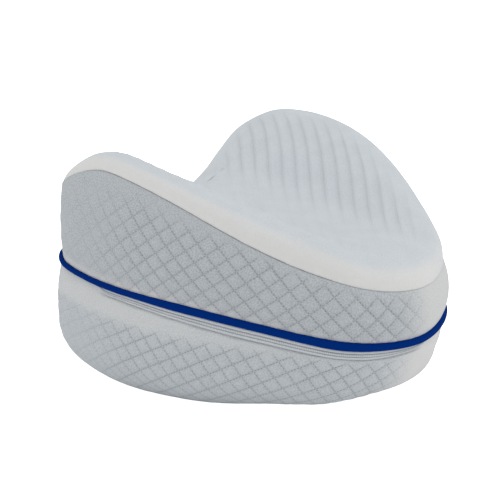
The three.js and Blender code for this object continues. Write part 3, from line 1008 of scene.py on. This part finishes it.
def knit_group():
    """The heathered knit: flecks of colour and the loops' relief, in metres of cloth."""
    inputs = {"Cloth": None, "Loop Size": 0.9 * MM}
    tree, w = group("Heathered knit", inputs, ("Fleck", "Shade", "Loops"))
    if w is None:
        return tree
    cloth = w.entry["Cloth"]
    parts = w.parts(cloth)
    slanted = w.add("ShaderNodeCombineXYZ")
    w.put(slanted.inputs[0], w.times(w.math("ADD", parts[0], parts[1]), 560.0))
    w.put(slanted.inputs[1], w.times(w.math("SUBTRACT", parts[0], parts[1]), 880.0))
    w.put(w.exit["Fleck"], w.between(w.noise(slanted.outputs[0], 1, 4, 0.65), 0.36, 0.62))
    w.put(w.exit["Shade"], w.between(w.noise(cloth, 60, 3, 0.55), 0.3, 0.7))
    across = w.math("DIVIDE", parts[0], w.entry["Loop Size"])
    down = w.math("DIVIDE", parts[1], w.entry["Loop Size"])
    wale = w.math("PINGPONG", across, 0.5)
    slant = w.math("ADD", down, wale)
    course = w.math("PINGPONG", slant, 0.5)
    w.put(w.exit["Loops"], w.times(wale, course))
    return tree


def stitch_group():
    """The sewn lines of the quilting, with thread and holes along them, and a wider band of painted shade
    beside them.
    """
    inputs = {"Quilt": None, "Diamond": 10 * MM, "Line Width": 0.85 * MM, "Second Lines": 1.0}
    tree, w = group("Quilting lines", inputs, ("Line", "Thread", "Painted Shade"))
    if w is None:
        return tree
    parts = w.parts(w.entry["Quilt"])
    near = []
    for part in parts[:2]:
        off = w.math("ABSOLUTE", w.math("SUBTRACT", part, w.math("ROUND", part)))
        near.append(w.times(off, w.entry["Diamond"]))
    closest = w.math("MINIMUM", *near)
    # Line is the sewn line itself; the wider 3.2 mm band is painted shade that darkens the valleys beside
    # it.
    for label, width in (("Line", w.entry["Line Width"]), ("Painted Shade", 3.2 * MM)):
        first, second = (w.between(side, width, 0.0) for side in near)
        w.put(w.exit[label], w.math("MAXIMUM", first, w.times(second, w.entry["Second Lines"])))
    first = w.math("LESS_THAN", near[0], near[1])
    along = w.add("ShaderNodeMix", data_type="FLOAT")
    w.put(along.inputs[0], first)
    w.put(along.inputs[2], parts[0])
    w.put(along.inputs[3], parts[1])
    step = w.math("PINGPONG", w.times(along.outputs[0], 4.0), 0.5)
    thread = w.times(w.between(step, 0.15, 0.35), w.between(closest, 0.6 * MM, 0.25 * MM))
    weight = w.math("MAXIMUM", first, w.entry["Second Lines"])
    w.put(w.exit["Thread"], w.times(thread, weight))
    return tree


def start_material(name):
    """A new material, its wiring and its shader."""
    material = bpy.data.materials.new(name)
    material.use_nodes = True
    w = Wiring(material.node_tree)
    shader = w.add("ShaderNodeBsdfPrincipled")
    output = w.add("ShaderNodeOutputMaterial")
    w.put(output.inputs[0], shader.outputs[0])
    return material, w, shader


def with_alpha(tone, brighter=1):
    """A colour, made brighter or darker, as a node's four values."""
    return (*(min(1, part * brighter) for part in tone), 1.0)


def place_group(w, tree, **inputs):
    """A node group in a material, with its own values."""
    node = w.add("ShaderNodeGroup", node_tree=tree)
    for key, value in inputs.items():
        w.put(node.inputs[key.replace("_", " ")], value)
    return node.outputs


def quilted_knit(name, brighter, heather, stitched, second=0.85, hollow=0.16):
    """Light grey heathered knit, quilted in diamonds, with warm plain margins that are partly painted
    highlight, painted shade beside the sewn lines, and a brightness per piece that is painted light.
    """
    cover = bpy.context.scene.pillow_cover
    material, w, shader = start_material(name)
    knit = place_group(w, knit_group(), Cloth=w.map("cloth"))
    lines = place_group(
        w, stitch_group(), Quilt=w.map("quilt"), Diamond=cover.diamond, Second_Lines=second
    )
    depth = w.times(w.mask("fade"), stitched)
    # brighter makes lit and shaded copies of one knit: painted light per piece.
    body, fleck = with_alpha(cover.body_tone, brighter), with_alpha(cover.fleck_tone, brighter)
    speck = w.between(knit["Fleck"], 0, 1, 0.5 - heather / 2, 0.5 + heather / 2)
    shaded = w.mix(w.times(knit["Shade"], 0.3), w.mix(speck, body, fleck), fleck)
    # Cream margins: the plain cloth's own tone, and partly painted highlight.
    warm = w.mix(w.times(w.mask("margin"), 0.8), shaded, with_alpha(cover.cream_and_highlight_tone))
    # hollow sets how dark the painted shade beside the sewn lines is.
    soft = w.math("ADD", w.times(lines["Line"], 0.34), w.times(lines["Painted Shade"], hollow))
    dotted = w.math("ADD", soft, w.times(lines["Thread"], 1.1))
    dark = with_alpha(cover.body_tone, 0.55)
    w.put(shader.inputs["Base Color"], w.mix(w.times(dotted, depth), warm, dark))
    w.put(shader.inputs["Roughness"], w.between(knit["Fleck"], 0, 1, 0.95, 0.88))
    shader.inputs["Specular IOR Level"].default_value = 0.25
    shader.inputs["Sheen Weight"].default_value = 0.12
    shader.inputs["Sheen Roughness"].default_value = 0.5
    height = w.math("ADD", w.times(knit["Loops"], 0.6), w.times(knit["Fleck"], 0.5))
    w.bump(shader, 0.8, 0.25 * MM, w.math("SUBTRACT", height, w.times(lines["Line"], depth)))
    return material


def piping_cloth():
    """Royal blue cloth cut on the bias, in slanting ribs."""
    cover = bpy.context.scene.pillow_cover
    material, w, shader = start_material("piping_blue")
    cloth = w.map("cloth")
    parts = w.parts(cloth)
    slant = w.math("ADD", parts[0], w.times(parts[1], 0.8))
    rib = w.math("PINGPONG", w.math("DIVIDE", slant, 1.1 * MM), 0.5)
    tone = w.math("ADD", w.times(rib, 1.2), w.times(w.noise(cloth, 900, 3), 0.4))
    dark, light = with_alpha(cover.cord_tone, 0.7), with_alpha(cover.cord_tone, 1.3)
    w.put(shader.inputs["Base Color"], w.mix(tone, dark, light))
    shader.inputs["Roughness"].default_value = 0.8
    shader.inputs["Specular IOR Level"].default_value = 0.02
    w.bump(shader, 0.7, 0.3 * MM, tone)
    return material


def tape_cloth():
    """Off-white woven tape."""
    cover = bpy.context.scene.pillow_cover
    material, w, shader = start_material("zip_tape_white")
    knit = place_group(w, knit_group(), Cloth=w.map("cloth"), Loop_Size=0.5 * MM)
    dark, light = with_alpha(cover.tape_tone, 0.85), with_alpha(cover.tape_tone)
    w.put(shader.inputs["Base Color"], w.mix(knit["Fleck"], dark, light))
    shader.inputs["Roughness"].default_value = 0.85
    w.bump(shader, 0.6, 0.15 * MM, knit["Loops"])
    return material


def coil_plastic():
    """White nylon coil, a tooth each 1.2 mm."""
    cover = bpy.context.scene.pillow_cover
    material, w, shader = start_material("zip_coil_white")
    way = w.parts(w.map("cloth"))[0]
    tooth = w.math("PINGPONG", w.math("DIVIDE", way, 1.2 * MM), 0.5)
    dark, light = with_alpha(cover.teeth_tone, 0.7), with_alpha(cover.teeth_tone)
    w.put(shader.inputs["Base Color"], w.mix(w.times(tooth, 2.0), dark, light))
    shader.inputs["Roughness"].default_value = 0.45
    w.bump(shader, 0.7, 0.3 * MM, tooth)
    return material


def facing(azimuth, elevation):
    """The way from the pillow to a place round it."""
    level = math.cos(elevation)
    return Vector((math.sin(azimuth) * level, -math.cos(azimuth) * level, math.sin(elevation)))


def make_camera(studio):
    """The camera at the photograph's angle."""
    bpy.ops.object.camera_add()
    camera = bpy.context.object
    camera.name = "portrait_camera"
    azimuth, roll = studio.azimuth, studio.roll
    right = Vector((math.cos(azimuth), math.sin(azimuth), 0))
    back = facing(azimuth, studio.elevation)
    up = back.cross(right)
    aim = Vector((0, 0, studio.aim_height))
    place = aim + back * studio.distance - right * studio.aim_right - up * studio.aim_up
    turned_right = right * math.cos(roll) - up * math.sin(roll)
    turned_up = right * math.sin(roll) + up * math.cos(roll)
    matrix = Matrix((turned_right, turned_up, back)).transposed().to_4x4()
    matrix.translation = place
    camera.matrix_world = matrix
    camera.data.sensor_fit = "HORIZONTAL"
    camera.data.sensor_width = SENSOR
    camera.data.lens = studio.focal * SENSOR
    camera.data.clip_start = 0.05
    camera.data.clip_end = 50
    bpy.context.scene.camera = camera


def add_light(name, azimuth, elevation, distance, size, power):
    """A square soft light that faces the pillow."""
    bpy.ops.object.light_add(type="AREA")
    light = bpy.context.object
    light.name = name
    way = facing(math.radians(azimuth), math.radians(elevation))
    light.location = way * distance + Vector((0, 0, 0.07))
    light.rotation_euler = way.to_track_quat("Z", "Y").to_euler()
    light.data.size = size
    light.data.energy = power


def make_stage():
    """A pale floor, soft lights and a bright, even surrounding."""
    studio = bpy.context.scene.pillow_studio
    bpy.ops.mesh.primitive_plane_add(size=12)
    floor = new_piece("studio_floor")
    material, w, shader = start_material("studio_floor_pale")
    shader.inputs["Base Color"].default_value = with_alpha(studio.floor_tone)
    shader.inputs["Roughness"].default_value = 0.9
    shader.inputs["Emission Color"].default_value = (1, 1, 1, 1)
    seen = w.add("ShaderNodeLightPath").outputs["Is Camera Ray"]
    w.put(shader.inputs["Emission Strength"], w.between(seen, 0, 1, 0.1, 1.0))
    floor.data.materials.append(material)
    world = bpy.data.worlds.new("studio_world")
    world.use_nodes = True
    w = Wiring(world.node_tree)
    seen = w.add("ShaderNodeLightPath").outputs["Is Camera Ray"]
    strength = w.between(seen, 0, 1, studio.surround, 1.0)
    surround = w.add("ShaderNodeBackground", {"Color": (1, 1, 1, 1), "Strength": strength})
    w.put(w.add("ShaderNodeOutputWorld").inputs[0], surround.outputs[0])
    bpy.context.scene.world = world
    add_light("top_light", -30, 80, 1.5, 1.3, studio.top_power)
    add_light("left_light", -135, 22, 1.8, 1.2, studio.left_power)
    add_light("right_light", 42, 22, 1.8, 1.2, studio.right_power)
    add_light("front_light", -48, 30, 2.2, 1.2, studio.front_power)
    view = bpy.context.scene.view_settings
    view.view_transform = "Standard"
    view.look = "None"


class PILLOW_OT_camera(bpy.types.Operator):
    """Sets the camera at the photograph's angle"""

    bl_idname = "pillow.camera"
    bl_label = "Camera"

    def execute(self, context):
        make_camera(context.scene.pillow_studio)
        return {"FINISHED"}


class PILLOW_OT_top_panel(bpy.types.Operator):
    """Makes the quilted top panel"""

    bl_idname = "pillow.top_panel"
    bl_label = "Top Panel"

    def execute(self, context):
        make_top_panel(Pillow())
        return {"FINISHED"}


class PILLOW_OT_side_bands(bpy.types.Operator):
    """Makes the quilted bands over and under the piping"""

    bl_idname = "pillow.side_bands"
    bl_label = "Side Bands"

    def execute(self, context):
        make_upper_band(Pillow())
        make_lower_band(Pillow())
        return {"FINISHED"}


class PILLOW_OT_bottom_panel(bpy.types.Operator):
    """Makes the quilted bottom panel"""

    bl_idname = "pillow.bottom_panel"
    bl_label = "Bottom Panel"

    def execute(self, context):
        make_bottom_panel(Pillow())
        return {"FINISHED"}


class PILLOW_OT_piping(bpy.types.Operator):
    """Makes the blue piping round the middle"""

    bl_idname = "pillow.piping"
    bl_label = "Piping"

    def execute(self, context):
        make_piping(Pillow())
        return {"FINISHED"}


class PILLOW_OT_zip(bpy.types.Operator):
    """Makes the zip under the piping"""

    bl_idname = "pillow.zip"
    bl_label = "Zip"

    def execute(self, context):
        make_zip(Pillow())
        return {"FINISHED"}


class PILLOW_OT_stage(bpy.types.Operator):
    """Makes the floor and the lights"""

    bl_idname = "pillow.stage"
    bl_label = "Stage"

    def execute(self, context):
        make_stage()
        return {"FINISHED"}


STEPS = (
    PILLOW_OT_camera,
    PILLOW_OT_top_panel,
    PILLOW_OT_side_bands,
    PILLOW_OT_piping,
    PILLOW_OT_zip,
    PILLOW_OT_bottom_panel,
    PILLOW_OT_stage,
)


class PILLOW_PT_panel(bpy.types.Panel):
    """Lists the pillow's steps in the sidebar"""

    bl_idname = "PILLOW_PT_panel"
    bl_label = "Knee Pillow"
    bl_space_type = "VIEW_3D"
    bl_region_type = "UI"
    bl_category = "Knee Pillow"

    def draw(self, context):
        for step in STEPS:
            self.layout.operator(step.bl_idname)


CLASSES = (PillowForm, PillowCover, PillowStudio, *STEPS, PILLOW_PT_panel)


def register():
    """Adds the classes and the scene's values."""
    for item in CLASSES:
        bpy.utils.register_class(item)
    bpy.types.Scene.pillow_form = bpy.props.PointerProperty(type=PillowForm)
    bpy.types.Scene.pillow_cover = bpy.props.PointerProperty(type=PillowCover)
    bpy.types.Scene.pillow_studio = bpy.props.PointerProperty(type=PillowStudio)


def unregister():
    """Takes the classes and the scene's values away."""
    del bpy.types.Scene.pillow_form
    del bpy.types.Scene.pillow_cover
    del bpy.types.Scene.pillow_studio
    for item in reversed(CLASSES):
        bpy.utils.unregister_class(item)


def main():
    """Makes every piece in order."""
    register()
    for step in STEPS:
        area, name = step.bl_idname.split(".")
        getattr(getattr(bpy.ops, area), name)()


if __name__ == "__main__":
    main()
